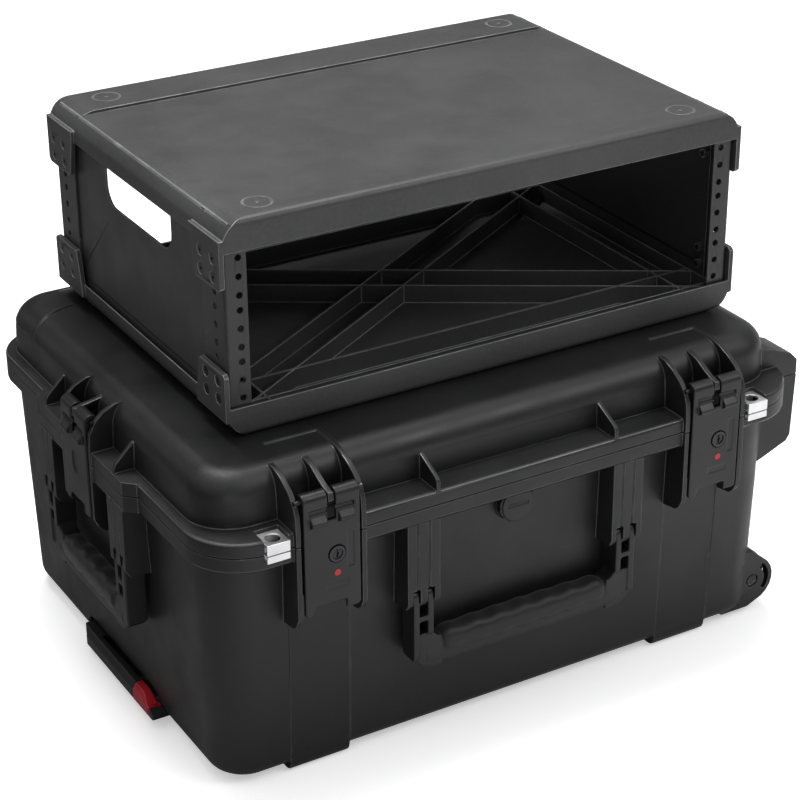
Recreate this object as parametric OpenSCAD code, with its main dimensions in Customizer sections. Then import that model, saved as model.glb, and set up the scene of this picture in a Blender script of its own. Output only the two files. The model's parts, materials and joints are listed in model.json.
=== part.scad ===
// Wheeled transport case with a removable 3U rack cage standing on its lid.
// Origin: on the floor, under the middle of the case. +X right, +Y back, +Z up. Millimetres.

/* [Case] */
// Length of the rim, left to right
rim_length = 582; // [576:1:588]
// Depth of the rim, front to back
rim_depth = 462; // [458:1:466]
// Height of the parting plane above the floor
part_z = 234; // [231:1:238]
// Height of the top of the lid
lid_top = 290; // [288:1:294]
// Thickness of the moulded walls
wall = 3.5; // [3:0.1:4]
// Gap between the two rims
rim_gap = 0.6; // [0.4:0.1:1]

/* [Latches] */
// Distance between the two front latches, centre to centre
latch_pitch = 375; // [372:1:378]
// Width of a latch
latch_w = 50; // [46:1:52]

/* [Handles] */
// Distance between the pivots of the front handle, centre to centre
front_handle_pitch = 202; // [196:1:206]
// Distance between the pivots of the side handle, centre to centre
side_handle_pitch = 148; // [144:1:152]

/* [Pull handle] */
// Outer diameter of the outer tubes
tube_d = 14; // [13:0.5:15]
// Distance between the two tubes
tube_pitch = 106; // [100:1:112]

/* [Wheels] */
// Tyre diameter
wheel_d = 47; // [42:1:48]
// Tyre width
wheel_w = 26; // [20:1:28]

/* [Rack cage] */
// Width of the trays
cage_w = 496; // [494:1:500]
// Height of the cage
cage_h = 186; // [184:1:190]
// Distance between the mounting faces of the front and the rear rails
cage_d = 333; // [325:1:336]
// Left-right position of the cage on the lid
cage_x = 20; // [10:1:22]
// Front-back position of the front rail faces
cage_y = -137.5; // [-138:0.5:-130]

/* [Hidden] */

case_color = [0.10, 0.10, 0.105];
dark_color = [0.06, 0.06, 0.065];
cage_color = [0.17, 0.17, 0.175];
rail_color = [0.11, 0.11, 0.115];
steel_color = [0.80, 0.80, 0.82];
foam_color = [0.09, 0.09, 0.09];
rubber_color = [0.05, 0.05, 0.05];
red_color = [0.72, 0.05, 0.06];
lock_color = [0.2, 0.2, 0.21];
outer_tube_color = [0.25, 0.25, 0.26];
inner_tube_color = [0.35, 0.35, 0.36];

// Plan: corner centres; sections are measured outward from them
rim_r = 50;
wall_r = 40;
corner_x = rim_length / 2 - rim_r;
rim_front = -230;
rim_corner_y = rim_front + rim_r;
back_corner_y = rim_corner_y + rim_depth - 2 * rim_r;
base_corner_y = rim_corner_y + 11; // the front wall is set in from the rim
lid_corner_y = rim_corner_y + 17;  // set in further

// Heights
base_top = part_z - rim_gap / 2;
lid_bottom = part_z + rim_gap / 2;
base_rim_h = 14.5;
lid_rim_h = 12.2;
shell_z = 5; // underside of the shell, above the skids

overlap = 0.01;
pin_gap = 0.05; // radial play round a pin

side_y = 5; // middle of the side latches and handle
latch_x = latch_pitch / 2;
latch_y = -228;    // pivot line of the front latches
latch_end_x = 297; // pivot lines of the side latches
latch_z = 271;
latch_pin_r = 2;
latch_xs = [-latch_x, latch_x];

front_half = front_handle_pitch / 2;
side_half = side_handle_pitch / 2;
front_handle_y = -221.5;
front_handle_z = 149.5;
side_handle_x = -293;
side_handle_z = 164.5;
handle_pin_r = 3;

hinge_y = 239;
hinge_z = part_z;
hinge_pin_r = 2.5;
knuckle_r = 7;
knuckle_pitch = 14;

pull_y = -8; // middle of the pull handle
tube_z = 16.8;
tube_r = tube_d / 2;
tube_ys = [pull_y - tube_pitch / 2, pull_y + tube_pitch / 2];

wheel_x = 272;
wheel_z = 33;
front_wheel_y = 6.5 - 180; // the wheels are centred on the base walls
rear_wheel_y = 6.5 + 180;
wheel_r = wheel_d / 2;
axle_r = 4;

padlock_x = 234;
skid_x = 186;
skid_half = 28;
valve_x = -2;
valve_z = 203;

cage_half_w = cage_w / 2;
cage_half_h = cage_h / 2;

// ---- drawing helpers
function arc(cx, cy, r, a0, a1, n = 8) =
  [for (i = [0:n]) let (a = a0 + (a1 - a0) * i / n) [cx + r * cos(a), cy + r * sin(a)]];

// Sweeps a section (outward distance, height) round the case; the front corners lie at front_y
module ring(front_y, section) {
  length_x = 2 * corner_x;
  length_y = back_corner_y - front_y;
  // x, y, turn, length of the straight run
  for (c = [
    [corner_x, back_corner_y, 0, length_y], [-corner_x, back_corner_y, 90, length_x],
    [-corner_x, front_y, 180, length_y], [corner_x, front_y, 270, length_x]
  ]) translate([c[0], c[1], 0]) rotate([0, 0, c[2]]) {
    rotate_extrude(angle = 90, $fn = 96) polygon(section);
    rotate([90, 0, 0]) linear_extrude(c[3]) polygon(section);
  }
}
// The same, filled in the middle from z0 to z1
module block(front_y, section, z0, z1) {
  ring(front_y, section);
  box(-corner_x, corner_x, front_y, back_corner_y, z0, z1);
}
// Prism along X from a (y, z) outline
module prism_x(x0, x1, outline)
  translate([x0, 0, 0]) rotate([90, 0, 90]) linear_extrude(x1 - x0) polygon(outline);
// Prism along Y from an (x, z) outline
module prism_y(y0, y1, outline)
  translate([0, y1, 0]) rotate([90, 0, 0]) linear_extrude(y1 - y0) polygon(outline);
module box(x0, x1, y0, y1, z0, z1)
  translate([x0, y0, z0]) cube([x1 - x0, y1 - y0, z1 - z0]);
module rod_x(x0, x1, y, z, r)
  translate([x0, y, z]) rotate([0, 90, 0]) cylinder(h = x1 - x0, r = r, $fn = 48);
module rod_y(x, y0, y1, z, r)
  translate([x, y1, z]) rotate([90, 0, 0]) cylinder(h = y1 - y0, r = r, $fn = 48);
module left_right() {
  children();
  mirror([1, 0, 0]) children();
}

// Places for shapes built for the front: outward is -Y, origin at the pivot
module at_front(x) translate([x, latch_y, latch_z]) children();
module at_end(side, z = latch_z)
  translate([side * latch_end_x, side_y, z]) rotate([0, 0, side * 90]) children();
module at_latches() {
  for (x = latch_xs) at_front(x) children();
  for (side = [-1, 1]) at_end(side) children();
}
module at_front_handle() translate([0, front_handle_y, front_handle_z]) children();
module at_side_handle()
  translate([side_handle_x, side_y, side_handle_z]) rotate([0, 0, -90]) children();

// ---- shell sections (outward distance, height)
function base_section(inset, top) = concat(
  [[0, shell_z + inset]], arc(18.4, shell_z + 16, 16 - inset, -90, 0),
  [[wall_r - inset, base_top - 12], [wall_r - inset, top], [0, top]]);
function lid_section(inset, bottom, steps) = concat(
  [[0, bottom], [wall_r - inset, bottom], [wall_r - inset, lid_bottom + 10]],
  arc(17, lid_top - 22, 22 - inset, 0, 90, steps), [[0, lid_top - inset]]);
base_rim = [[0, base_top - base_rim_h], [rim_r - 2.5, base_top - base_rim_h],
  [rim_r, base_top - 12], [rim_r, base_top], [0, base_top]];
lid_rim = [[0, lid_bottom], [rim_r, lid_bottom], [rim_r, lid_bottom + 9],
  [rim_r - 1, lid_bottom + 11.2], [rim_r - 3.5, lid_bottom + lid_rim_h],
  [0, lid_bottom + lid_rim_h]];

module base_block(inset, top)
  block(base_corner_y, base_section(inset, top), shell_z + inset, top);
module lid_block(inset, bottom, steps)
  block(lid_corner_y, lid_section(inset, bottom, steps), bottom, lid_top - inset);

// ---- ribs beside and between the latch arms
// Front ribs, (y, z)
rib_long = [[-157, lid_top - 4], [-157, lid_top + 1], [-160, lid_top + 1.6],
  [-184, lid_top + 1.6], [-197, lid_top - 1], [-210, lid_top - 5.5], [-221, lid_top - 11.5],
  [-228.5, lid_top - 19.5], [-232.5, lid_top - 29], [-233.5, lid_top - 42],
  [-233.5, lid_bottom], [-196, lid_bottom], [-196, lid_top - 12]];
rib_short = [[-186, lid_top - 6], [-189, lid_top - 0.5], [-199, lid_top - 0.8],
  [-210, lid_top - 5], [-221, lid_top - 11.5], [-228.5, lid_top - 19.5],
  [-232.5, lid_top - 29], [-233.5, lid_top - 42], [-233.5, lid_bottom], [-196, lid_bottom],
  [-196, lid_top - 14]];
rib_mid = [[-188, lid_top - 6], [-191, lid_top - 1.5], [-205, lid_top - 4],
  [-217, lid_top - 10], [-224, lid_top - 13], [-233, lid_top - 15], [-234, lid_top - 22],
  [-229, lid_top - 26.5], [-222, lid_top - 28], [-219, lid_top - 36], [-219, lid_bottom],
  [-196, lid_bottom], [-196, lid_top - 14]];
rib_base = [[-233.5, base_top], [-233.5, 168], [-230, 161], [-224, 156], [-200, 152],
  [-200, base_top]];
// End ribs, (inward distance from the latch pivot line, z)
end_rib = [[40, lid_top - 8], [33, lid_top - 3.5], [20, lid_top - 4], [9, lid_top - 9],
  [1, lid_top - 16], [-4.5, lid_top - 27], [-5.5, lid_top - 42], [-5.5, lid_bottom],
  [24, lid_bottom], [24, lid_top - 20]];
end_rib_mid = [[38, lid_top - 10], [30, lid_top - 7.5], [16, lid_top - 11], [5, lid_top - 13],
  [-5, lid_top - 15], [-6, lid_top - 22], [-1, lid_top - 26.5], [8, lid_top - 28],
  [12, lid_top - 36], [12, lid_bottom], [24, lid_bottom], [24, lid_top - 20]];
end_rib_base = [[-5.5, base_top], [-5.5, 182], [-2, 175], [4, 170], [28, 166],
  [28, base_top]];
rib_in = 27; // inner and outer faces of the ribs, from the middle of the latch
rib_out = 31.5;
mid_rib_half = 2.5;

module rib_pair(outline) left_right() prism_x(rib_in, rib_out, outline);

// ---- end bump-outs under and over the side latches
module bump(top) linear_extrude(top) polygon([
  [-270, side_y - 101], [-rim_length / 2 + overlap, side_y - 100], [-301, side_y - 90.5],
  [-301, side_y + 90.5], [-rim_length / 2 + overlap, side_y + 100], [-270, side_y + 101]]);
module bumps(z0, z1) intersection() {
  left_right() bump(z1);
  box(-320, 320, -120, 130, z0, z1);
}

// Latch pockets in the rims
module latch_pockets(z0, z1) {
  for (x = latch_xs) box(x - 27, x + 27, -240, -222, z0, z1);
  left_right() box(291, 315, side_y - 27, side_y + 27, z0, z1);
}

// ---- handle posts: three prongs with two slots for the ears of the handle
module posts(half, top, depth) for (x = [-half, half]) translate([x, 0, 0]) difference() {
  prism_x(-15.5, 15.5, [[-8.5, top], [-8.5, -3], [-5, -8.5], [0, -10], [depth + 2, -10],
    [depth + 14, -4], [depth + 14, top]]);
  for (u = [-10.3, 3.3]) box(u, u + 7, -10, depth - 0.5, -20, 9.2);
  // shallow grooves above the slots
  for (u = [-5.6, 5.6]) box(u - 0.7, u + 0.7, -9, -7.6, 9.1, top + overlap);
}
module handle_pins(half, reach, r)
  for (x = [-half, half]) rod_x(x - reach, x + reach, 0, 0, r);

module skids() for (x = [-skid_x, skid_x]) difference() {
  prism_x(x - skid_half, x + skid_half, concat([[-202.2, 30]],
    arc(-192.2, 10, 10, 180, 270, 5), [[206, 0], [214.5, 5], [218, 25]]));
  box(x - 30, x + 30, -180, 190, -1, 1.2);
}
// Shallow sunk bands below the front latches
module bands() for (x = [-skid_x, skid_x]) prism_x(x - skid_half, x + skid_half,
  [[-216, 1], [-202, 1], [-202.5, 24], [-208, base_top - 14.6], [-216, base_top - 14.6]]);

// ---- hinges along the back
function knuckles(base) = base ? [-2, 0, 2] : [-1, 1];
module hinge_leaves(base) {
  side = base ? -1 : 1;
  edge = base ? base_top : lid_bottom;
  for (x = latch_xs) for (k = knuckles(base)) {
    mid = x + k * knuckle_pitch;
    rod_x(mid - 6.8, mid + 6.8, hinge_y, hinge_z, knuckle_r);
    prism_x(mid - 6.8, mid + 6.8, [[226, edge + side * 12], [226, edge], [230, edge],
      [hinge_y - knuckle_r, hinge_z], [hinge_y, hinge_z + side * knuckle_r]]);
  }
}
// Room for the knuckles of the other half, and the pin holes
module hinge_cuts(base) for (x = latch_xs) {
  for (k = knuckles(!base)) {
    mid = x + k * knuckle_pitch;
    rod_x(mid - 7.2, mid + 7.2, hinge_y, hinge_z, 7.8);
  }
  rod_x(x - 40, x + 40, hinge_y, hinge_z, hinge_pin_r + pin_gap);
}

// ---- bumpers that keep the case level when it stands on its wheel end
module bumpers(outline) for (y = [-190, 154]) prism_y(y, y + 38, outline);
bumper_base = [[262, 150], [281, 157], [292, 161.5], [306, 167], [310, 173], [312, base_top],
  [262, base_top]];
bumper_lid = [[262, lid_bottom], [312, lid_bottom], [311.5, lid_bottom + 14],
  [304, lid_bottom + 21.5], [283, lid_bottom + 30], [262, lid_bottom + 33]];

// ---- wheel housings at the right end
module wheel_house(y0, y1) prism_y(y0, y1, concat([[238, 6], [wheel_x - 4, 6]],
  arc(wheel_x, wheel_z, 23.5, -75, 60), [[272, 64], [238, 64]]));
module wheel_wells() for (y = [front_wheel_y, rear_wheel_y]) {
  intersection() {
    translate([wheel_x, y + 15, wheel_z]) rotate([90, 0, 0]) cylinder(h = 30, r = 28, $fn = 72);
    box(240, 320, -300, 300, -5, 70);
  }
  box(wheel_x, 320, y - 15, y + 15, wheel_z - 28, wheel_z + 28);
}
// Corner boxes round the wells, reaching inward past the wheel centres
module wheel_boxes(x0, inward, top) {
  box(x0, 290, -240, front_wheel_y + inward, 6, top);
  box(x0, 290, rear_wheel_y - inward, 260, 6, top);
}
module axle_cuts() {
  bore_r = axle_r + pin_gap;
  rod_y(wheel_x, front_wheel_y - 26, front_wheel_y + 18, wheel_z, bore_r);
  rod_y(wheel_x, rear_wheel_y - 18, rear_wheel_y + 26, wheel_z, bore_r);
  // seats of the axle heads
  rod_y(wheel_x, -260, front_wheel_y - 21.5, wheel_z, 6.6);
  rod_y(wheel_x, rear_wheel_y + 18.98, 260, wheel_z, 6.2);
  // curved slot in the front housing
  translate([wheel_x, front_wheel_y - 14, wheel_z]) rotate([90, 0, 0]) rotate([0, 0, -42])
    rotate_extrude(angle = 96, $fn = 72)
      polygon([[14.2, 0], [19, 0], [19, 30], [14.2, 30]]);
}

// ---- pull-handle channel in the floor
module channel_hump() box(-279, 176, pull_y - 80, pull_y + 86, shell_z + 1, 31);
module channel_void() {
  box(-258, 172, pull_y - 76, pull_y + 76, 8, 27.5);
  box(-258, 172, pull_y - 76, pull_y + 76, -1, 9);
  // mouth at the left end
  prism_x(-300, -257.9, [[-94, -1], [-91, 11], [-72, 24], [-64, 27.5], [70, 27.5], [77, 22],
    [84, 8], [86, -1]]);
  // recess for the cover flange
  box(-247, 163, pull_y - 86.2, pull_y + 86.2, -1, 5);
}
module at_cover_screws(z)
  for (x = [-240, -60, 150]) for (s = [-1, 1]) translate([x, pull_y + s * 81, z]) children();
module cover_screw_holes(r) at_cover_screws(-1) cylinder(h = 14, r = r, $fn = 24);

module padlock_pockets(z0, z1)
  left_right() box(padlock_x - 10.6, padlock_x + 10.6, -236, -211.4, z0, z1);
module valve_rod(y0, y1, r) rod_y(valve_x, y0, y1, valve_z, r);

// ---- base
module base_body() {
  difference() {
    union() {
      difference() {
        base_block(0, base_top);
        bands();
      }
      block(rim_corner_y, base_rim, base_top - base_rim_h, base_top);
      bumps(base_top - base_rim_h, base_top);
      skids();
      for (x = latch_xs) translate([x, 0, 0]) rib_pair(rib_base);
      for (side = [-1, 1]) at_end(side, 0) rib_pair(end_rib_base);
      at_front_handle() posts(front_half, base_top - 12.5 - front_handle_z, 13);
      at_side_handle() posts(side_half, base_top - 12.5 - side_handle_z, 12.5);
      bumpers(bumper_base);
      wheel_house(front_wheel_y - 24, front_wheel_y + 21);
      wheel_house(rear_wheel_y - 21, rear_wheel_y + 19);
      hinge_leaves(true);
    }
    base_block(wall, base_top + 6);
  }
  // tongue that enters the lid groove
  ring(base_corner_y, [[38.6, base_top - 1], [41, base_top - 1], [41, base_top + 2.2],
    [40.6, base_top + 2.6], [39, base_top + 2.6], [38.6, base_top + 2.2]]);
  intersection() {
    channel_hump();
    base_block(0, base_top);
  }
  intersection() {
    wheel_boxes(239, 19, 62);
    base_block(0, base_top);
  }
  // boss behind the valve
  valve_rod(-207, -196, 15);
}

module base_shell() color(case_color) difference() {
  base_body();
  latch_pockets(base_top - 16, base_top + 5);
  hinge_cuts(true);
  at_front_handle() handle_pins(front_half, 14.6, handle_pin_r + pin_gap);
  at_side_handle() handle_pins(side_half, 14.6, handle_pin_r + pin_gap);
  wheel_wells();
  axle_cuts();
  channel_void();
  padlock_pockets(base_top - 6.4, base_top + 1);
  left_right() translate([padlock_x, -223, base_top - 20]) cylinder(h = 30, r = 6.2, $fn = 48);
  // valve seat
  valve_rod(-225, -190, 9.1);
  valve_rod(-225, -206.4, 17.8);
  cover_screw_holes(1.3);
}

module base_foam() color(foam_color) difference() {
  bottom = 23;
  top = base_top - 3;
  block(base_corner_y, [[0, bottom], [29, bottom], [29, top], [0, top]], bottom, top);
  box(-252, 252, -164, 182, 46, base_top);
  // room for the channel and the wheel housings
  box(-285, 180, pull_y - 84, pull_y + 90, 20, 33);
  wheel_boxes(235, 24, 66);
  // hand slots for lifting the cage out, and room for the valve
  left_right() box(250, 264, -60, 75, 90, base_top);
  box(-24, 20, -200, -186, 180, base_top);
}

// Padlock plates: channels folded over the rims, split at the parting plane
module padlock_plates(z0, z1, web_z) left_right() translate([padlock_x, 0, 0]) difference() {
  union() {
    box(-10.2, 10.2, -233.2, -211.8, web_z, web_z + 1.8);
    box(-10.2, 10.2, -233.2, -231.2, z0, z1);
    box(-10.2, 10.2, -213.6, -211.8, z0, z1);
  }
  translate([0, -223, z0 - 5]) cylinder(h = 40, r = 6, $fn = 48);
}
module base_padlock_plates() color(steel_color)
  padlock_plates(base_top - 6.2, base_top - 0.1, base_top - 6.2);
module lid_padlock_plates() color(steel_color)
  padlock_plates(lid_bottom + 0.1, lid_bottom + 9.4, lid_bottom + 9.4 - 1.8);

module front_handle_pins() color(steel_color)
  at_front_handle() handle_pins(front_half, 14.4, handle_pin_r);
module side_handle_pins() color(steel_color)
  at_side_handle() handle_pins(side_half, 14.4, handle_pin_r);
module hinge_pins() color(steel_color)
  for (x = latch_xs) rod_x(x - 34, x + 34, hinge_y, hinge_z, hinge_pin_r);

module pull_handle_guides() color(dark_color) for (y = tube_ys) difference() {
  union() {
    box(-252, -232, y - 11, y + 11, 9, 27.2);
    box(-232, -222, y - 9.5, y + 9.5, 9, 26);
  }
  rod_x(-260, -215, y, tube_z, tube_r + 0.08);
}
module pull_handle_cover() color(case_color) difference() {
  union() {
    box(-255, 171.5, pull_y - 75.5, pull_y + 75.5, 5.5, 8.8);
    box(-246, 162, pull_y - 85.5, pull_y + 85.5, 2.2, 4.9);
    box(-246, 162, pull_y - 75.5, pull_y + 75.5, 4.8, 5.6);
  }
  cover_screw_holes(1.8);
  // row of shallow recesses underneath
  for (x = [-200:36:124]) box(x, x + 20, pull_y - 66, pull_y + 66, 2, 2.9);
}
module cover_screws() color(steel_color) at_cover_screws(0) difference() {
  union() {
    translate([0, 0, 0.6]) cylinder(h = 1.5, r = 3, $fn = 32);
    translate([0, 0, 2]) cylinder(h = 9, r = 1.25, $fn = 24);
  }
  // cross slot
  box(-2, 2, -0.4, 0.4, 0.4, 1.2);
  box(-0.4, 0.4, -2, 2, 0.4, 1.2);
}
module wheel_axles() color(steel_color) {
  rod_y(wheel_x, front_wheel_y - 22.5, front_wheel_y + 17.8, wheel_z, axle_r);
  rod_y(wheel_x, rear_wheel_y - 17.8, rear_wheel_y + 19.5, wheel_z, axle_r);
  // flat heads outside the housings
  rod_y(wheel_x, front_wheel_y - 23.4, front_wheel_y - 21.54, wheel_z, 5);
  rod_y(wheel_x, rear_wheel_y + 19.04, rear_wheel_y + 20.8, wheel_z, 5.6);
}

// ---- valve in the front wall
module valve_body() color(dark_color) difference() {
  union() {
    valve_rod(-209.2, -206.6, 17.6);
    valve_rod(-207, -191, 9);
  }
  valve_rod(-212, -194, 6);
}
module valve_seal() color(rubber_color)
  translate([valve_x, -209.35, valve_z]) rotate([90, 0, 0]) difference() {
    cylinder(h = 1, r = 12, $fn = 64);
    translate([0, 0, -1]) cylinder(h = 3, r = 9.5, $fn = 64);
  }
module valve_knob() color(case_color) difference() {
  union() {
    valve_rod(-215.5, -210.5, 17.4);
    valve_rod(-217, -215.4, 15.4);
    valve_rod(-211, -195, 5.9);
  }
  // flutes round the edge and a slot across the face
  for (a = [0:30:330]) translate([valve_x, 0, valve_z]) rotate([0, a, 0])
    rod_y(18.3, -216, -210, 0, 1.6);
  box(-12.5, 8.5, -217.5, -216.2, 201.4, 204.6);
}

// ---- lid
// Slightly raised pad along the back, with a seat for the cage
module lid_pad() difference() {
  intersection() {
    block(lid_corner_y, concat([[0, lid_top - 28], [20, lid_top - 28]],
      arc(17, lid_top - 20.4, 22, 14, 90), [[0, lid_top + 1.6]]), lid_top - 28, lid_top + 1.6);
    linear_extrude(400) polygon([[-320, 132], [-285, 143], [-262, 156], [-242, 164],
      [-216, 168], [-150, 170], [150, 170], [216, 168], [242, 164], [262, 156], [285, 143],
      [320, 132], [320, 300], [-320, 300]]);
  }
  box(cage_x - cage_half_w - 3, cage_x + cage_half_w + 3, 100, cage_y + cage_d + 8,
    lid_top, lid_top + 4);
}
module lid_ribs() {
  for (x = latch_xs) {
    prism_x(x - rib_out, x - rib_in, rib_short);
    prism_x(x + rib_in, x + rib_out, rib_long);
    prism_x(x - mid_rib_half, x + mid_rib_half, rib_mid);
    // low cross rib at the back end of the long rib
    box(x - 20, x + rib_out, -161, -157, lid_top - 5, lid_top + 1.6);
  }
  for (side = [-1, 1]) at_end(side, 0) {
    rib_pair(end_rib);
    prism_x(-mid_rib_half, mid_rib_half, end_rib_mid);
  }
}
// Stiffening gussets, as (y, z) outlines front and back and (x, z) outlines at the ends
gusset_half = 1.9;
front_gusset = [[-229, lid_bottom + 8], [-229, lid_bottom + 20], [-227, lid_bottom + 23],
  [-203, lid_bottom + 34], [-199, lid_bottom + 34], [-199, lid_bottom + 8]];
back_gusset = [[230, lid_bottom + 8], [230, lid_bottom + 16], [221, lid_bottom + 28],
  [217, lid_bottom + 28], [217, lid_bottom + 8]];
end_gusset = [[299, lid_bottom + 8], [299, lid_bottom + 17], [297, lid_bottom + 20.5],
  [281, lid_bottom + 36], [276, lid_bottom + 36], [276, lid_bottom + 8]];
module gussets() {
  for (x = [-87, 87]) for (outline = [front_gusset, back_gusset])
    prism_x(x - gusset_half, x + gusset_half, outline);
  left_right() for (y = [side_y - 72, side_y + 72])
    prism_y(y - gusset_half, y + gusset_half, end_gusset);
}
module lid_body() difference() {
  union() {
    lid_block(0, lid_bottom, 10);
    block(rim_corner_y, lid_rim, lid_bottom, lid_bottom + lid_rim_h);
    bumps(lid_bottom, lid_bottom + lid_rim_h);
    lid_pad();
    lid_ribs();
    gussets();
    bumpers(bumper_lid);
    hinge_leaves(false);
  }
  lid_block(wall, lid_bottom - 6, 8);
}

module lid_shell() color(case_color) difference() {
  lid_body();
  // groove for the gasket and the tongue
  ring(base_corner_y, [[37.5, lid_bottom - 1], [42, lid_bottom - 1], [42, lid_bottom + 6],
    [37.5, lid_bottom + 6]]);
  latch_pockets(lid_bottom - 1, lid_bottom + 12.5);
  hinge_cuts(false);
  at_latches() rod_x(-30.4, 30.4, 0, 0, latch_pin_r + pin_gap);
  padlock_pockets(lid_bottom - 1, lid_bottom + 13);
}
module lid_gasket() color(rubber_color) ring(base_corner_y, [[38.1, lid_bottom + 2.4],
  [41.4, lid_bottom + 2.4], [41.6, lid_bottom + 5.6], [37.9, lid_bottom + 5.6]]);
module lid_foam() color(foam_color) difference() {
  block(lid_corner_y, [[0, lid_bottom + 6], [33, lid_bottom + 6], [33, lid_top - 22],
    [24, lid_top - 11], [12, lid_top - 5], [0, lid_top - 5]], lid_bottom + 6, lid_top - 5);
  // crossed grooves in the underside
  for (x = [-240:40:240]) box(x - 4, x + 4, -250, 250, lid_bottom + 5, lid_bottom + 14);
  for (y = [-150:40:180]) box(-300, 300, y - 4, y + 4, lid_bottom + 5, lid_bottom + 14);
}
module latch_pins() color(steel_color) at_latches() rod_x(-30.2, 30.2, 0, 0, latch_pin_r);

// ---- latch lever, built at its pivot, outward -Y; drop is its length below the pivot
latch_half = latch_w / 2;
lock_x = 4;
lock_z = -51;
lens_z = -68;
module latch(locking, drop) difference() {
  union() {
    rod_x(-latch_half, latch_half, 0, 0, 6.5);
    box(-latch_half, latch_half, -6.5, -3, -drop, 0);
    left_right() box(latch_half - 3, latch_half, -6, 4.5, -drop + 20, 0);
    // striker bar behind the plate
    box(-latch_half + 2.9, latch_half - 2.9, -3.1, 3.5, -38, -33);
    // finger tabs under the knuckles
    left_right() prism_x(5.5, 19.5,
      [[-5, -10.6], [-11, -17.6], [-11, -20], [-6.4, -22.6], [-5, -22.6]]);
  }
  // hollow between the knuckle and the tabs
  prism_x(-20, 20, [[-9, -7.2], [-4.4, -7.2], [-4.4, -11.2], [-9, -11.2]]);
  // slot for the middle rib
  box(-3.6, 3.6, -12, 12, -19.5, 12);
  rod_x(-latch_half - 1, latch_half + 1, 0, 0, latch_pin_r + pin_gap);
  // finger notch at the lower edge, slanted at the left and upright at the right
  prism_y(-8, -2, [[-latch_half + 6, -drop - 1], [-latch_half + 10, -drop + 8],
    [latch_half - 12.5, -drop + 8], [latch_half - 12.5, -drop - 1]]);
  // bevels at the lower corners
  left_right() translate([latch_half, 0, -drop]) rotate([0, 45, 0])
    box(-1.6, 1.6, -9, 5, -1.6, 1.6);
  if (locking) {
    rod_y(lock_x, -8, -1, lock_z, 7.6);
    rod_y(lock_x, -8, -5.8, lens_z, 3.1);
    // shallow recess below the lens
    box(-6, 14, -7, -6.1, -83, -77);
    // upright panel and level line beside the lock
    box(13.4, 19.6, -7, -5.9, -66, -34);
    box(-7, 13.7, -7, -6.1, -60.4, -59.7);
  } else {
    // upright recess with round ends
    rod_y(0, -8, -5.4, -42, 6.5);
    box(-6.5, 6.5, -8, -5.4, -50, -42);
    rod_y(0, -8, -5.4, -50, 6.5);
  }
}
module front_latch_left() color(case_color) at_front(-latch_x) latch(true, 103);
module front_latch_right() color(case_color) at_front(latch_x) latch(true, 103);
module side_latch_left() color(case_color) at_end(-1) latch(false, 90);
module side_latch_right() color(case_color) at_end(1) latch(false, 90);

module lock_cylinder() difference() {
  union() {
    rod_y(lock_x, -7, -3.6, lock_z, 7);
    rod_y(lock_x, -3.8, 0.5, lock_z, 4.5);
    // cam behind the plate
    prism_x(0.5, 7.5, [[-0.2, -54], [1.6, -54], [1.6, -43], [-0.2, -43]]);
  }
  // dished face with the keyway
  rod_y(lock_x, -8, -6.2, lock_z, 5);
  rod_y(lock_x, -8, -5, lock_z, 1.6);
  box(3.2, 4.8, -8, -5, -54.6, -47.4);
}
module lock_cylinder_left() color(lock_color) at_front(-latch_x) lock_cylinder();
module lock_cylinder_right() color(lock_color) at_front(latch_x) lock_cylinder();
module lens() rod_y(lock_x, -6.7, -5.9, lens_z, 3);
module lock_lens_left() color(red_color) at_front(-latch_x) lens();
module lock_lens_right() color(red_color) at_front(latch_x) lens();

// ---- folding handle, hanging from its pivots: frame with two-eared arms, overmoulded grip
arm_half = 9.7;
ear_in = 3.9; // inner face of an ear, from the middle of the arm
bar_y = 2;    // round bar inside the grip
bar_z = -54;
bar_r = 6;
module handle_arm(half) difference() {
  union() {
    for (u = [-arm_half, ear_in]) {
      rod_x(half + u, half + u + 5.8, 0, 0, 7);
      prism_x(half + u, half + u + 5.8,
        [[-7, 0], [-8, -6], [-8, -36], [11.5, -36], [11.5, -12], [7, 0]]);
    }
    // tie between the ears, and the solid lower end
    prism_x(half - 4, half + 4, [[-8, -22.5], [11.5, -22.5], [11.5, -17.8], [-8, -17.8]]);
    prism_x(half - arm_half, half + arm_half,
      [[-6.5, -35.5], [10.5, -35.5], [10.5, -58], [-6.5, -58]]);
    // outer rib running on down the corner
    prism_x(half + ear_in, half + arm_half,
      [[-8, -35], [11.5, -35], [11.5, -57], [9, -60], [-6, -60], [-8, -57]]);
  }
  rod_x(half - 12, half + 12, 0, 0, handle_pin_r + pin_gap);
}
module handle_frame(half) {
  left_right() handle_arm(half);
  difference() {
    // corners and cross bar
    prism_y(-6.5, 10.5, concat([[-half - arm_half, -50]],
      arc(-half + 10.3, -50, 20, 180, 270, 6), arc(half - 10.3, -50, 20, -90, 0, 6),
      [[half + arm_half, -50], [half - arm_half, -34], [half - 11.2, -38],
        [half - 14, -40.6], [half - 17.9, -41.8], [-half + 17.9, -41.8],
        [-half + 14, -40.6], [-half + 11.2, -38], [-half + arm_half, -34]]));
    // room for the grip
    box(-half + 17.9, half - 17.9, -20, 20, -80, -30);
  }
  rod_x(-half + 16, half - 16, bar_y, bar_z, bar_r);
}
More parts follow.
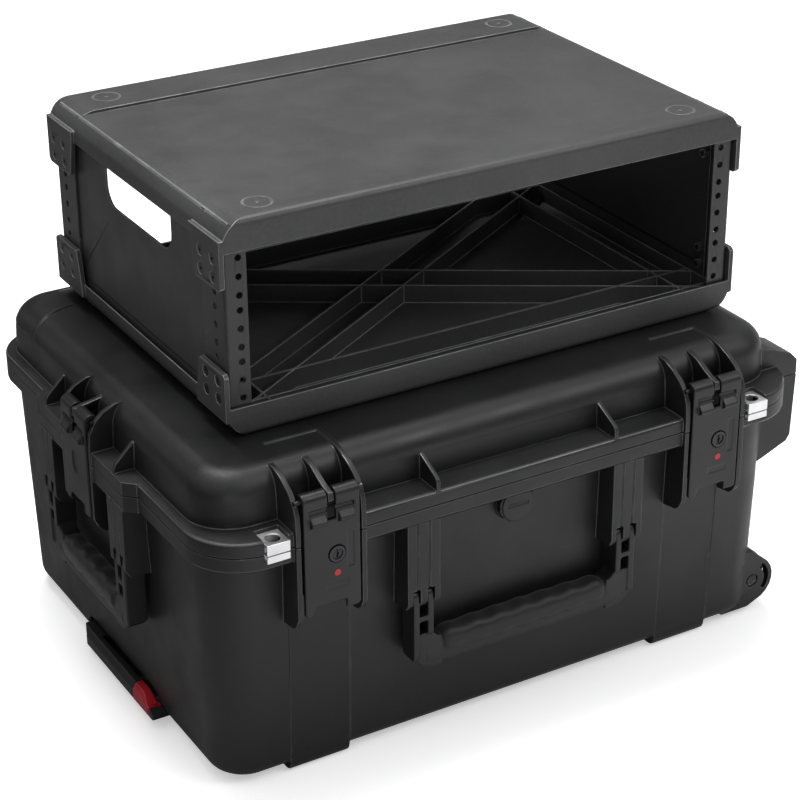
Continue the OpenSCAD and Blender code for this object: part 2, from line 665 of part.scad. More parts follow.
module handle_grip(half) {
  reach = half - 18.1;
  difference() {
    intersection() {
      // bowed lower edge, scalloped upper edge
      prism_y(-12, 16, concat(
        [for (i = [0:40]) let (t = -1 + 2 * i / 40)
          [t * reach, -69.5 + 2.5 * pow(abs(t), 3)]],
        [for (i = [0:40]) let (t = 1 - 2 * i / 40)
          [t * reach, -38.5 - 1.7 * abs(sin(t * 450)) - 1.5 * pow(abs(t), 3)]]));
      prism_x(-reach - 1, reach + 1, concat(arc(bar_y - 1, -44, 9.5, 20, 160, 6),
        arc(bar_y - 3, -60, 8, 180, 270, 5), arc(bar_y + 2.5, -60, 8, -90, 0, 5)));
    }
    rod_x(-half, half, bar_y, bar_z, bar_r + pin_gap);
  }
}
module front_handle_frame() color(case_color) at_front_handle() handle_frame(front_half);
module front_handle_grip() color(dark_color) at_front_handle() handle_grip(front_half);
module side_handle_frame() color(case_color) at_side_handle() handle_frame(side_half);
module side_handle_grip() color(dark_color) at_side_handle() handle_grip(side_half);

// ---- telescoping pull handle, drawn out to the left
inner_tube_r = tube_r - 1.58;
module tubes(x0, x1, r, bore_r) for (y = tube_ys) difference() {
  rod_x(x0, x1, y, tube_z, r);
  rod_x(x0 - 1, x1 + 1, y, tube_z, bore_r);
}
module pull_outer_tubes() color(outer_tube_color) tubes(-258, 150, tube_r, tube_r - 1.5);
module pull_inner_tubes() color(inner_tube_color)
  tubes(-268, 140, inner_tube_r, tube_r - 2.9);

// Slanted cuts that break the lower and upper edges of the outer face
module pull_face_cuts(y1) {
  prism_y(-100, y1, [[-300, 2], [-282, 2], [-289, 12], [-300, 12]]);
  prism_y(-100, y1, [[-300, 40], [-281, 30], [-288.5, 19], [-300, 19]]);
}
module pull_grip() color(dark_color) difference() {
  prism_x(-288, -259, [[-85, 8.5], [-88, 11], [-86, 14], [-68, 23.5], [-62, 25.5], [64, 25.5],
    [69, 23], [72, 17], [70, 9.5], [66, 8], [-82, 7]]);
  pull_face_cuts(100);
  // drawn-in back end
  translate([0, 0, -5]) linear_extrude(50)
    polygon([[-300, 52], [-287.5, 54], [-283, 66], [-277, 80], [-300, 80]]);
  // finger hollow behind the bar
  box(-279, -270.5, -40, 36, 12, 40);
  for (y = tube_ys) rod_x(-268.2, -258, y, tube_z, tube_r - 1.5);
  // seat of the button
  box(-300, -270, -79, -45, 5, 18.4);
  box(-300, -273.6, -79, -45, 18, 40);
}
spring_y = -62;
spring_z = 12.6;
module pull_button() color(red_color) difference() {
  prism_x(-288, -274.5, [[-85, 8.5], [-87.5, 11], [-86, 14], [-68, 23.5], [-62, 25.3],
    [-38, 25.3], [-38, 7.4], [-82, 7.2]]);
  // trimmed to its seat
  box(-300, -260, -100, -78.5, 0, 40);
  box(-300, -260, -45.5, 0, 0, 40);
  box(-277, -260, -100, 0, 18, 40);
  // pocket for the spring
  translate([-278, spring_y, spring_z]) rotate([0, 90, 0]) cylinder(h = 6, r = 4.3, $fn = 40);
  pull_face_cuts(-30);
}
// The spring, as a plain sleeve
module button_spring() color(steel_color)
  translate([-274.2, spring_y, spring_z]) rotate([0, 90, 0]) difference() {
    cylinder(h = 3.9, r = 3.9, $fn = 40);
    translate([0, 0, -1]) cylinder(h = 6, r = 3, $fn = 40);
  }

// ---- wheels; sections are (radius, distance along the axle)
wheel_half = wheel_w / 2;
tyre_section = [[wheel_r - 6, -wheel_half + 1], [wheel_r - 3, -wheel_half],
  [wheel_r - 1, -wheel_half + 2], [wheel_r, -wheel_half + 5], [wheel_r, wheel_half - 5],
  [wheel_r - 1, wheel_half - 2], [wheel_r - 3, wheel_half], [wheel_r - 6, wheel_half - 1]];
hub_section = [[axle_r + pin_gap, -wheel_half], [7, -wheel_half], [7, -5], [wheel_r - 9, -3],
  [wheel_r - 9, -wheel_half + 2], [wheel_r - 6.1, -wheel_half + 2],
  [wheel_r - 6.1, wheel_half - 2], [wheel_r - 9, wheel_half - 2], [wheel_r - 9, 3], [7, 5],
  [7, wheel_half], [axle_r + pin_gap, wheel_half]];
module turned(y, section)
  translate([wheel_x, y, wheel_z]) rotate([90, 0, 0]) rotate_extrude($fn = 96) polygon(section);
module wheel_tyre_front() color(rubber_color) turned(front_wheel_y, tyre_section);
module wheel_hub_front() color(dark_color) turned(front_wheel_y, hub_section);
module wheel_tyre_rear() color(rubber_color) turned(rear_wheel_y, tyre_section);
module wheel_hub_rear() color(dark_color) turned(rear_wheel_y, hub_section);

// ---- rack cage: x from its middle, y from the front rail faces, z from mid height
rail_x = 245.5; // outer face of a rail's side flange
rail_half_h = cage_half_h - 18.8;
tray_edge_z = -66.5;
screw_ys = [9, 30.5];
lower_row = [-60.325, -44.45];
screw_row = concat(lower_row, -lower_row);
middle_row = [28.575, 15.875, 0, -15.875, -28.575];
module at_cage() translate([cage_x, cage_y, lid_top + 0.1 + cage_half_h]) children();
module front_back() {
  children();
  translate([0, cage_d, 0]) mirror([0, 1, 0]) children();
}

// Bottom tray; the top tray is the same moulding turned over
lug_outline = [[-4, -cage_half_h + 15], [50, -cage_half_h + 15], [50, -cage_half_h + 22],
  [43, -38], [40.5, -35.5], [-1, -35.5], [-4, -38]]; // y, z
module tray_pan() difference() {
  w = cage_half_w;
  floor_z = -cage_half_h;
  intersection() {
    prism_y(-4, cage_d + 4, concat([[-w, tray_edge_z]], arc(-w + 22, floor_z + 22, 22, 180, 270),
      arc(w - 22, floor_z + 22, 22, 270, 360), [[w, tray_edge_z]]));
    prism_x(-w - 1, w + 1, concat([[-4, tray_edge_z]], arc(2, floor_z + 6, 6, 180, 270, 5),
      arc(cage_d - 2, floor_z + 6, 6, 270, 360, 5), [[cage_d + 4, tray_edge_z]]));
  }
  // inside
  prism_y(-1.5, cage_d + 1.5, concat([[-w + 1.7, -60]],
    arc(-w + 22, floor_z + 23, 20.3, 180, 262, 6), [[-w + 24, floor_z + 5]],
    [[w - 24, floor_z + 5]], arc(w - 22, floor_z + 23, 20.3, 278, 360, 6), [[w - 1.7, -60]]));
  // the middle is set in from the end bands, below and at the sides
  box(-w - 2, w + 2, 49, cage_d - 49, floor_z - 1, floor_z + 3);
  left_right() box(w - 0.6, w + 2, 49, cage_d - 49, floor_z, -60);
}
module tray_ribs() {
  z0 = -cage_half_h + 4;
  z1 = -71;
  intersection() {
    union() {
      left_right() for (o = [-17, 17]) translate([0, cage_d / 2, 0]) rotate([0, 0, 31.6])
        box(-330, 330, o - 1, o + 1, z0, z1);
      left_right() for (x = [206, 239]) box(x - 1, x + 1, -3, cage_d + 3, z0, z1);
      front_back() for (y = [12, 46]) box(-242, 242, y - 1, y + 1, z0, z1);
    }
    box(-cage_half_w + 7.5, cage_half_w - 7.5, 2.6, cage_d - 2.6, z0, -70);
  }
}
module tray() difference() {
  union() {
    tray_pan();
    front_back() left_right() prism_x(cage_half_w - 1.7, cage_half_w + 2.6, lug_outline);
    tray_ribs();
  }
  // countersunk screw holes in the lugs
  front_back() left_right() for (y = screw_ys) for (z = lower_row) {
    rod_x(cage_half_w - 4, cage_half_w + 4, y, z, 2.7);
    rod_x(cage_half_w + 0.6, cage_half_w + 4, y, z, 4.7);
  }
  // round foot marks and the moulding gate
  front_back() for (x = [-203.4, 203.4]) translate([x, 22, -cage_half_h - 1]) {
    difference() {
      cylinder(h = 1.7, r = 12.3, $fn = 72);
      translate([0, 0, -1]) cylinder(h = 4, r = 11.2, $fn = 72);
    }
    cylinder(h = 1.6, r = 1.1, $fn = 24);
  }
  translate([0, cage_d / 2, -cage_half_h - 1]) cylinder(h = 3.7, r = 3, $fn = 32);
}
module cage_bottom_tray() color(cage_color) at_cage() tray();
module cage_top_tray() color(cage_color) at_cage() mirror([0, 0, 1]) tray();

// Front right L rail; the flange towards the front carries the rack holes
module rail() translate([0, 0, -rail_half_h]) difference() {
  linear_extrude(2 * rail_half_h) polygon(concat([[225.5, 0]],
    arc(rail_x - 3, 3, 3, 270, 360, 4), [[rail_x, 40], [rail_x - 2, 40]],
    arc(rail_x - 3, 3, 1, 360, 270, 3), [[225.5, 2]]));
  for (z = concat(middle_row, screw_row))
    translate([232.55, 5, rail_half_h + z]) rotate([90, 0, 0]) cylinder(h = 10, r = 2.8, $fn = 32);
  for (z = middle_row) rod_x(230, 260, 18, rail_half_h + z, 2.9);
  for (y = screw_ys) for (z = screw_row) rod_x(230, 260, y, rail_half_h + z, 2.7);
}
module rail_front_left() color(rail_color) at_cage() mirror([1, 0, 0]) rail();
module rail_front_right() color(rail_color) at_cage() rail();
module rail_rear_left() color(rail_color) at_cage()
  translate([0, cage_d, 0]) rotate([0, 0, 180]) rail();
module rail_rear_right() color(rail_color) at_cage()
  translate([0, cage_d, 0]) mirror([0, 1, 0]) rail();

module side_panel() difference() {
  prism_x(rail_x - 4.1, rail_x - 2.1, [[25, -rail_half_h], [cage_d - 25, -rail_half_h],
    [cage_d - 25, rail_half_h], [25, rail_half_h]]);
  // window near the top
  prism_x(230, 250, concat([[99, 62]], arc(116, 47, 17, 180, 270, 6),
    arc(211, 47, 17, 270, 360, 6), [[228, 62]], arc(224, 62, 4, 0, 90, 3),
    arc(103, 62, 4, 90, 180, 3)));
  for (y = [screw_ys[1], cage_d - screw_ys[1]]) for (z = screw_row) rod_x(230, 260, y, z, 2.7);
}
module cage_side_right() color(cage_color) at_cage() side_panel();
module cage_side_left() color(cage_color) at_cage() mirror([1, 0, 0]) side_panel();

module at_cage_screws() at_cage() front_back() left_right()
  for (y = screw_ys) for (z = screw_row) translate([0, y, z]) children();
module cage_screws() color(steel_color) at_cage_screws() difference() {
  union() {
    rod_x(cage_half_w - 12, cage_half_w + 1, 0, 0, 2.5);
    rod_x(cage_half_w + 0.7, cage_half_w + 2.3, 0, 0, 4.5);
  }
  rod_x(cage_half_w + 1.2, cage_half_w + 4, 0, 0, 1.5);
}
module cage_nuts() color(steel_color) at_cage_screws()
  translate([rail_x - 8.6, 0, 0]) rotate([0, 90, 0]) difference() {
    cylinder(h = 4, r = 4.5, $fn = 6);
    translate([0, 0, -1]) cylinder(h = 6, r = 2.55, $fn = 32);
  }

base_shell();
base_foam();
base_padlock_plates();
front_handle_pins();
side_handle_pins();
hinge_pins();
pull_handle_guides();
pull_handle_cover();
cover_screws();
wheel_axles();
valve_body();
valve_seal();
valve_knob();
lid_shell();
lid_gasket();
lid_foam();
lid_padlock_plates();
latch_pins();
front_latch_left();
front_latch_right();
side_latch_left();
side_latch_right();
lock_cylinder_left();
lock_cylinder_right();
lock_lens_left();
lock_lens_right();
front_handle_frame();
front_handle_grip();
side_handle_frame();
side_handle_grip();
pull_outer_tubes();
pull_inner_tubes();
pull_grip();
pull_button();
button_spring();
wheel_tyre_front();
wheel_hub_front();
wheel_tyre_rear();
wheel_hub_rear();
cage_top_tray();
cage_bottom_tray();
cage_side_left();
cage_side_right();
rail_front_left();
rail_front_right();
rail_rear_left();
rail_rear_right();
cage_screws();
cage_nuts();
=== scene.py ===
# A wheeled hard case with foam lining, latches, folding handles and a pull handle,
# and a railed cage with two trays.
# Metres. X runs across the case, -Y is its front and Z is up; the floor is at z = 0.
import bpy
import bmesh
import json
import math
import numpy as np
from mathutils import Matrix, Vector


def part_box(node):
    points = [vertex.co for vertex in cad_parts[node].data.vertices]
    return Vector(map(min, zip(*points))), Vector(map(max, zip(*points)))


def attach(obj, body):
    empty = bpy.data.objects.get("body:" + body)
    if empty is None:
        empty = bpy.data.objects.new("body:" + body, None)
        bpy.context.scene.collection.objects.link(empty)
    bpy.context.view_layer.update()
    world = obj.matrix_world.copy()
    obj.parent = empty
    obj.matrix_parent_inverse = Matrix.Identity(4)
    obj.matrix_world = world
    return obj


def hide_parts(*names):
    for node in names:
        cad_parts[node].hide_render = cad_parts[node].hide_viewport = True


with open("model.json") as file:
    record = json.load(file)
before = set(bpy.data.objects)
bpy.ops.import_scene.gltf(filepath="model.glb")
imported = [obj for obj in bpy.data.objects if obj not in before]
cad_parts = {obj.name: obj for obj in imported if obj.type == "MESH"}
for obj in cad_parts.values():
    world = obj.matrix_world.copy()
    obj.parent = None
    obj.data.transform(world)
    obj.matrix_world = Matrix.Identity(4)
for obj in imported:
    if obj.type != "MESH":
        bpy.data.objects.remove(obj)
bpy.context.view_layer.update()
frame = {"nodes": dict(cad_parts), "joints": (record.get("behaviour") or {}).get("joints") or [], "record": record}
nodes = frame["nodes"]
record = frame["record"]
BODY = {node: body for body, members in record["behaviour"]["bodies"].items() for node in members}
SLOT = {part["node"]: part["material_slot"] for part in record["subparts"]}
scene = bpy.context.scene

WELD_DISTANCE = 0.00002
CAMERA_TURN = 30.1378  # degrees from +Y towards +X, the way the camera looks


# ------------------------------------------------------------------ shader graphs
class Graph:
    """Shorthand for building a node tree. Methods return output sockets, except add()."""
    def __init__(self, owner):
        owner.use_nodes = True
        self.tree = owner.node_tree
        self.tree.nodes.clear()

    def add(self, kind, **settings):
        node = self.tree.nodes.new(kind)
        for key, value in settings.items():
            setattr(node, key, value)
        return node

    def link(self, output, socket):
        self.tree.links.new(output, socket)

    def put(self, socket, value):
        """Link an output, or set a number or a colour."""
        if isinstance(value, bpy.types.NodeSocket):
            self.link(value, socket)
        elif isinstance(value, (tuple, list)):
            socket.default_value = (*value[:3], 1.0)
        else:
            socket.default_value = value

    def math(self, operation, *values):
        node = self.add("ShaderNodeMath", operation=operation)
        for socket, value in zip(node.inputs, values):
            self.put(socket, value)
        return node.outputs[0]

    def times(self, a, b):
        return self.math("MULTIPLY", a, b)

    def remap(self, value, low, high, to_low=0.0, to_high=1.0):
        node = self.add("ShaderNodeMapRange")
        node.clamp = True
        node.inputs["From Min"].default_value = low
        node.inputs["From Max"].default_value = high
        node.inputs["To Min"].default_value = to_low
        node.inputs["To Max"].default_value = to_high
        self.link(value, node.inputs["Value"])
        return node.outputs[0]

    def middle(self, value, to_low=0.0, to_high=1.0):
        """Stretch the middle of a noise over the given range."""
        return self.remap(value, 0.3, 0.7, to_low, to_high)

    def split(self, vector):
        node = self.add("ShaderNodeSeparateXYZ")
        self.link(vector, node.inputs[0])
        return node.outputs

    def camera_ray(self):
        return self.add("ShaderNodeLightPath").outputs["Is Camera Ray"]


class Shader(Graph):
    """A material with one Principled shader, textured in object space."""
    def __init__(self, name):
        self.material = bpy.data.materials.new(name)
        super().__init__(self.material)
        output = self.add("ShaderNodeOutputMaterial")
        self.principled = self.add("ShaderNodeBsdfPrincipled")
        self.link(self.principled.outputs[0], output.inputs[0])
        self.place = self.add("ShaderNodeTexCoord").outputs["Object"]

    def noise(self, scale, detail=3.0, rough=0.55, vector=None):
        node = self.add("ShaderNodeTexNoise")
        node.inputs["Scale"].default_value = scale
        node.inputs["Detail"].default_value = detail
        node.inputs["Roughness"].default_value = rough
        self.link(vector or self.place, node.inputs["Vector"])
        return node.outputs["Fac"]

    def cells(self, scale, smooth=None):
        """Voronoi distance, with soft borders where smooth is given."""
        node = self.add("ShaderNodeTexVoronoi", feature="SMOOTH_F1" if smooth else "F1")
        node.inputs["Scale"].default_value = scale
        if smooth:
            node.inputs["Smoothness"].default_value = smooth
        self.link(self.place, node.inputs["Vector"])
        return node.outputs["Distance"]

    def mix(self, factor, a, b):
        node = self.add("ShaderNodeMix", data_type="RGBA")
        self.put(node.inputs["Factor"], factor)
        self.put(node.inputs[6], a)
        self.put(node.inputs[7], b)
        return node.outputs[2]

    def edge(self):
        """A mask of convex edges, from how pointed the mesh is."""
        geometry = self.add("ShaderNodeNewGeometry")
        return self.remap(geometry.outputs["Pointiness"], low=0.54, high=0.66)

    def bump(self, height, strength, distance, normal=None):
        node = self.add("ShaderNodeBump")
        node.inputs["Strength"].default_value = strength
        node.inputs["Distance"].default_value = distance
        self.link(height, node.inputs["Height"])
        if normal is not None:
            self.link(normal, node.inputs["Normal"])
        return node.outputs[0]

    def finish(self, color, rough, metallic=0.0, normal=None, **others):
        inputs = self.principled.inputs
        self.put(inputs["Base Color"], color)
        self.put(inputs["Roughness"], rough)
        self.put(inputs["Metallic"], metallic)
        if normal is not None:
            self.link(normal, inputs["Normal"])
        for key, value in others.items():
            self.put(inputs[key.replace("_", " ")], value)
        return self.material


def tint(color, gain, lift=0.0):
    return [min(1, c * gain + lift) for c in color]


# ------------------------------------------------------------------ materials
def moulded(name, color, rough, grain, depth, strength, coarse, wear_and_highlight_on="point", wear_and_highlight=0.35):
    """Grained plastic. Wear with a painted highlight lies on pointed places ("point"), all over ("edge") or
    nowhere.
    """
    m = Shader(name)
    base = m.mix(m.middle(m.noise(scale=7.0, detail=2.0)),
                 tint(color, 0.78), tint(color, 1.22, lift=0.002))
    specks = m.remap(m.noise(scale=260.0, detail=1.0), low=0.35, high=0.75)
    base = m.mix(m.times(specks, 0.35), base, tint(color, 1.5, lift=0.004))
    roughness = m.remap(m.noise(scale=22.0, detail=2.0, rough=0.6), low=0.3, high=0.75,
                        to_low=rough - 0.06, to_high=rough + 0.08)
    if wear_and_highlight_on != "none":
        scuff = m.remap(m.noise(scale=38.0, detail=3.0, rough=0.7), low=0.47, high=0.68)
        least = 0.35  # share of the wear and painted highlight left between scuffs
        if wear_and_highlight_on == "edge":
            worn = m.remap(scuff, 0, 1, to_low=least * wear_and_highlight, to_high=wear_and_highlight)
        else:
            worn = m.times(m.times(m.edge(), m.remap(scuff, 0, 1, to_low=least)), wear_and_highlight)
        # lighter where worn: real wear, and a painted highlight on the edges
        base = m.mix(worn, base, tint(color, 2.6, lift=0.02))
        roughness = m.math("SUBTRACT", roughness, m.times(worn, 0.3))
    height = m.math("ADD", m.cells(grain), m.times(m.noise(scale=grain * 2.7, detail=0.0), 0.5))
    if coarse:
        lumps = m.noise(scale=grain * 0.3, detail=2.0)
        height = m.math("ADD", height, m.times(lumps, coarse))
    normal = m.bump(height, strength, depth)
    normal = m.bump(m.noise(scale=16.0, detail=1.0), strength=0.10, distance=0.0012, normal=normal)
    return m.finish(base, roughness, normal=normal, Specular_IOR_Level=0.5)


def metal(name, color, rough):
    """Metal brushed along X."""
    m = Shader(name)
    mapping = m.add("ShaderNodeMapping")
    mapping.inputs["Scale"].default_value = (25.0, 900.0, 900.0)
    m.link(m.place, mapping.inputs["Vector"])
    streak = m.noise(scale=1.0, detail=3.0, rough=0.6, vector=mapping.outputs[0])
    base = m.mix(m.middle(m.noise(scale=60.0, detail=4.0)), tint(color, 0.86), color)
    # lighter on convex edges: a painted highlight
    base = m.mix(m.times(m.edge(), 0.4), base, tint(color, 1.15, lift=0.02))
    roughness = m.remap(streak, low=0.25, high=0.75, to_low=rough - 0.08, to_high=rough + 0.10)
    normal = m.bump(streak, strength=0.25, distance=0.00005)
    return m.finish(base, roughness, metallic=1.0, normal=normal, Anisotropic=0.35)


def painted(name, color, rough):
    """Painted steel, chipped to bare metal on its edges."""
    m = Shader(name)
    cloud = m.noise(scale=20.0, detail=4.0)
    chips = m.remap(m.noise(scale=240.0, detail=4.0, rough=0.7), low=0.56, high=0.62)
    worn = m.times(m.times(m.edge(), chips), 0.8)
    base = m.mix(m.middle(cloud), tint(color, 0.8), tint(color, 1.25))
    base = m.mix(worn, base, (0.32, 0.32, 0.33))
    roughness = m.middle(cloud, to_low=rough - 0.05, to_high=rough + 0.07)
    peel = m.bump(m.noise(scale=520.0, detail=2.0), strength=0.3, distance=0.0001)
    return m.finish(base, roughness, metallic=m.times(worn, 0.9), normal=peel)


def rubber(name, color, rough):
    m = Shader(name)
    dust = m.noise(scale=45.0, detail=6.0, rough=0.7)
    base = m.mix(m.remap(dust, low=0.35, high=0.75),
                 tint(color, 0.8), tint(color, 1.5, lift=0.003))
    roughness = m.remap(dust, low=0.3, high=0.8, to_low=rough - 0.08, to_high=rough + 0.10)
    normal = m.bump(m.cells(1500.0, smooth=0.7), strength=0.25, distance=0.00012)
    return m.finish(base, roughness, normal=normal, Specular_IOR_Level=0.4, Sheen_Weight=0.12)


def foam(name, color):
    m = Shader(name)
    cell = m.cells(620.0)
    pore = m.noise(scale=1500.0, detail=3.0, rough=0.7)
    # painted shade: darker in the dips between cells, lighter on the cell tops
    base = m.mix(m.remap(cell, low=0.1, high=0.7),
                 tint(color, 2.2, lift=0.006), tint(color, 0.5))
    patches = m.middle(m.noise(scale=18.0, detail=4.0))
    base = m.mix(m.times(patches, 0.4), base, tint(color, 1.6))
    height = m.math("SUBTRACT", pore, m.times(cell, 1.2))
    normal = m.bump(height, strength=0.9, distance=0.0006)
    return m.finish(base, 0.95, normal=normal, Specular_IOR_Level=0.2, Sheen_Weight=0.25)


def glossy(name, color):
    m = Shader(name)
    cloud = m.noise(scale=90.0, detail=4.0)
    base = m.mix(m.middle(cloud), tint(color, 0.8), tint(color, 1.15))
    # lighter on convex edges: a painted highlight
    base = m.mix(m.times(m.edge(), 0.3), base, tint(color, 1.6, lift=0.05))
    roughness = m.middle(cloud, to_low=0.24, to_high=0.36)
    normal = m.bump(m.noise(scale=900.0, detail=2.0), strength=0.12, distance=0.00008)
    return m.finish(base, roughness, normal=normal)


MATERIAL = {
    "rail_steel": painted("rail_black_powder_coat", (0.030, 0.030, 0.031), rough=0.33),
    "stainless": metal("brushed_stainless", (0.92, 0.92, 0.93), rough=0.36),
    "steel": metal("zinc_steel", (0.52, 0.52, 0.53), rough=0.34),
    "black_steel": painted("black_oxide_steel", (0.0035, 0.0035, 0.004), rough=0.30),
    "lock_metal": metal("dark_nickel", (0.055, 0.055, 0.058), rough=0.32),
    "foam": foam("open_cell_foam", (0.010, 0.010, 0.011)),
    "gasket_rubber": rubber("gasket_rubber", (0.008, 0.008, 0.008), rough=0.72),
    "grip_rubber": rubber("grip_overmould", (0.0075, 0.0075, 0.008), rough=0.50),
    "red_plastic": glossy("red_plastic", (0.40, 0.008, 0.018)),
    "tube_aluminium": metal("dark_anodised_tube", (0.26, 0.26, 0.27), rough=0.32),
    "tyre": rubber("tyre_rubber", (0.008, 0.008, 0.008), rough=0.66),
}
# slot: name, colour, roughness, grain scale, grain depth, bump strength, share of coarse lumps
PLASTIC = {
    "case_plastic": ("textured_black_plastic", (0.0068, 0.0070, 0.0074),
                     0.43, 820.0, 0.00013, 0.42, 0.5),
    "latch_plastic": ("latch_black_plastic", (0.0064, 0.0066, 0.0070),
                      0.39, 1100.0, 0.00010, 0.35, 0.0),
    "inner_plastic": ("smooth_black_plastic", (0.0055, 0.0055, 0.006),
                      0.36, 1600.0, 0.00006, 0.2, 0.0),
    "cage_plastic": ("cage_tray_plastic", (0.0445, 0.0448, 0.0453),
                     0.46, 760.0, 0.00014, 0.45, 0.6),
    "cage_panel": ("cage_side_plastic", (0.0310, 0.0310, 0.0315),
                   0.42, 1400.0, 0.00006, 0.2, 0.0),
}
FACE_AND_EDGE = {slot: (material, material) for slot, material in MATERIAL.items()}
for slot, (name, color, rough, grain, depth, strength, coarse) in PLASTIC.items():
    MATERIAL[slot] = moulded(name, color, rough, grain, depth, strength, coarse)
    face = moulded(name + "_face", color, rough, grain, depth, strength, coarse, wear_and_highlight_on="none")
    # rolled edges are paler as a painted highlight, smoother, and carry wear and more painted highlight all along
    edge = moulded(name + "_lit_edge", tint(color, 2.4, lift=0.010), rough - 0.14, grain,
                   depth * 0.5, strength * 0.5, coarse, wear_and_highlight_on="edge", wear_and_highlight=0.75)
    FACE_AND_EDGE[slot] = (face, edge)


# ------------------------------------------------------------------ mesh helpers
def linked(name, mesh):
    ob = bpy.data.objects.new(name, mesh)
    scene.collection.objects.link(ob)
    return ob


def copy_of(node, name=None):
    return linked(name or "v_" + node, nodes[node].data.copy())


def bake(ob):
    """Turn the object's modifiers into mesh."""
    depsgraph = bpy.context.evaluated_depsgraph_get()
    mesh = bpy.data.meshes.new_from_object(ob.evaluated_get(depsgraph))
    ob.modifiers.clear()
    old = ob.data
    ob.data = mesh
    bpy.data.meshes.remove(old)


def all_smooth(mesh):
    mesh.polygons.foreach_set("use_smooth", np.ones(len(mesh.polygons), bool))


def weld(ob):
    ob.modifiers.new("weld", "WELD").merge_threshold = WELD_DISTANCE


def soften(ob, voxel, passes):
    """Voxel remesh, then relax, so that every edge gets a moulded radius."""
    remesh = ob.modifiers.new("remesh", "REMESH")
    remesh.mode = "VOXEL"
    remesh.voxel_size = voxel
    smooth = ob.modifiers.new("smooth", "SMOOTH")
    smooth.factor = 0.5
    smooth.iterations = passes
    bake(ob)
    all_smooth(ob.data)


def flat_face_normals(ob, split_angle):
    """Normals that keep flat faces flat, split at edges sharper than the angle in degrees."""
    split = ob.modifiers.new("split", "EDGE_SPLIT")
    split.split_angle = math.radians(split_angle)
    normals = ob.modifiers.new("normals", "WEIGHTED_NORMAL")
    normals.keep_sharp = True
    normals.mode = "FACE_AREA"
    normals.weight = 50


def dress(ob, *materials):
    ob.data.materials.clear()
    for material in materials:
        ob.data.materials.append(material)


rebuilt = set()  # CAD nodes that have a new piece in their place


def place(ob, node, *others, edged=False):
    """Dress a piece and let it stand in for its CAD nodes."""
    slot = SLOT[node]
    dress(ob, *(FACE_AND_EDGE[slot] if edged else [MATERIAL[slot]]))
    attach(ob, BODY[node])
    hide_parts(node, *others)
    rebuilt.update((node, *others))


# ------------------------------------------------------------------ small rounded pieces
# node: voxel size, smoothing passes
ROUNDED = {
    "front_latch_left": (0.0006, 3), "front_latch_right": (0.0006, 3),
    "side_latch_left": (0.0006, 3), "side_latch_right": (0.0006, 3),
    "valve_knob": (0.0005, 4), "pull_grip": (0.0007, 7),
    "wheel_tyre_front": (0.0007, 4), "wheel_tyre_rear": (0.0007, 4),
    "wheel_hub_front": (0.0006, 3), "wheel_hub_rear": (0.0006, 3),
}
for node, (voxel, passes) in ROUNDED.items():
    ob = copy_of(node)
    weld(ob)
    soften(ob, voxel, passes)
    place(ob, node)


# ------------------------------------------------------------------ folding handles
# In a handle's own axes the hinge is the origin, X runs along the grip and Z is up.
ROLL_INSET = 0.0185  # from the handle's end to the end of the roll between the arms
ROLL_STEPS = 96
ROLL_Z = -0.0500
ROLL_BOTTOM = -0.0575  # lowest height that counts as roll
BAR_STEPS = 32
BAR_Z = -0.0607


def section(x, y_mid, z_mid, y_radius, z_radius, power=2.6, count=40):
    """A superellipse across X; a higher power makes it squarer."""
    points = []
    for k in range(count):
        angle = 2 * math.pi * k / count
        c, s = math.cos(angle), math.sin(angle)
        points.append((x,
                       y_mid + y_radius * math.copysign(abs(c) ** (2 / power), c),
                       z_mid + z_radius * math.copysign(abs(s) ** (2 / power), s)))
    return points


def tube(bm, rings):
    """A closed skin over rings of points."""
    rings = [[bm.verts.new(point) for point in ring] for ring in rings]
    for a, b in zip(rings, rings[1:]):
        for i in range(len(a)):
            j = (i + 1) % len(a)
            bm.faces.new((a[i], a[j], b[j], b[i]))
    bm.faces.new(list(reversed(rings[0])))
    bm.faces.new(rings[-1])


def roll_rings(half, scallops):
    """The scalloped roll, swollen in the middle and rounded off at both ends."""
    for i in range(ROLL_STEPS + 1):
        t = -1 + 2 * i / ROLL_STEPS
        end = max(0.0, (abs(t) - 0.90) / 0.10)
        taper = math.sqrt(max(0.0, 1 - end ** 2)) * 0.88 + 0.12
        wave = 0.0011 * math.cos(t * math.pi * scallops) * (1 - end)
        swell = 0.0012 * (1 - t * t)
        yield section(t * (half + 0.0015), 0.0015, ROLL_Z - wave * 0.3,
                      y_radius=(0.0103 + swell) * taper,
                      z_radius=(0.0102 + swell * 0.6 + wave) * taper)


def bar_rings(half):
    """The squarish lower bar, rising and thinning at its ends."""
    for i in range(BAR_STEPS + 1):
        t = -1 + 2 * i / BAR_STEPS
        yield section(t * (half - 0.004), 0.0018, BAR_Z + 0.0022 * abs(t) ** 6,
                      y_radius=0.0088, z_radius=0.0088 - 0.0006 * abs(t) ** 6, power=3.6)


